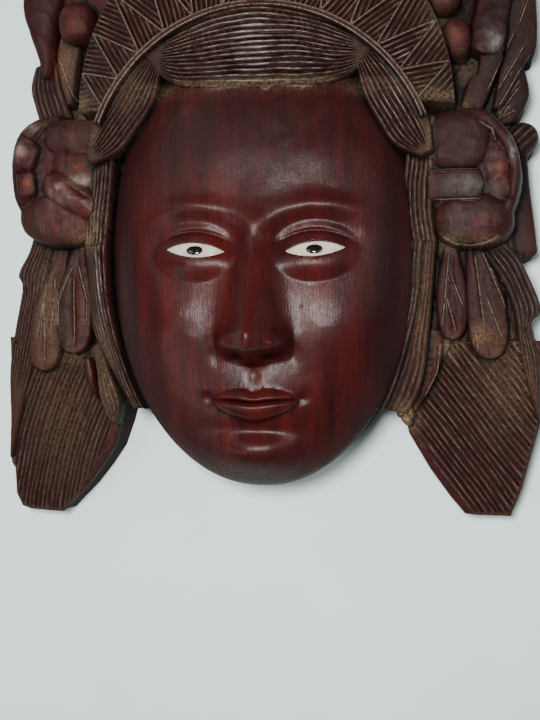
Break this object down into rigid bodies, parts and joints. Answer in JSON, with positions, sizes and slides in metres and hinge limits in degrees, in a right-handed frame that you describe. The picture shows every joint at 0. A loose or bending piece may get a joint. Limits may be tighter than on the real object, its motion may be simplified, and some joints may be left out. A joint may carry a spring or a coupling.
{
  "type": "carved wooden wall mask",
  "caption": "Carved rosewood mask of a calm face in combed hair, with a chip-carved diadem, large ears, a leafy headdress and inlaid eyes; lies on its flat, hollowed back.",
  "frame": {"origin": "middle of the whole width and length, on the plane of the flat back", "axes": "+Y up the face to the crown, +X to the right of someone who looks at the face, +Z out of the flat back towards the nose"},
  "size_m": [0.2016, 0.2959, 0.08],
  "materials": {
    "lacquered_rosewood": "satin lacquer over stained, polished rosewood, dusty in the cuts",
    "bone_inlay": "smoothed pale bone",
    "black_pupil": "glossy black lacquer"
  },
  "bodies": {
    "root": {"carved_mask": "lacquered_rosewood", "left_eye_inlay": "bone_inlay", "right_eye_inlay": "bone_inlay", "left_pupil": "black_pupil", "right_pupil": "black_pupil"}
  },
  "joints": []
}
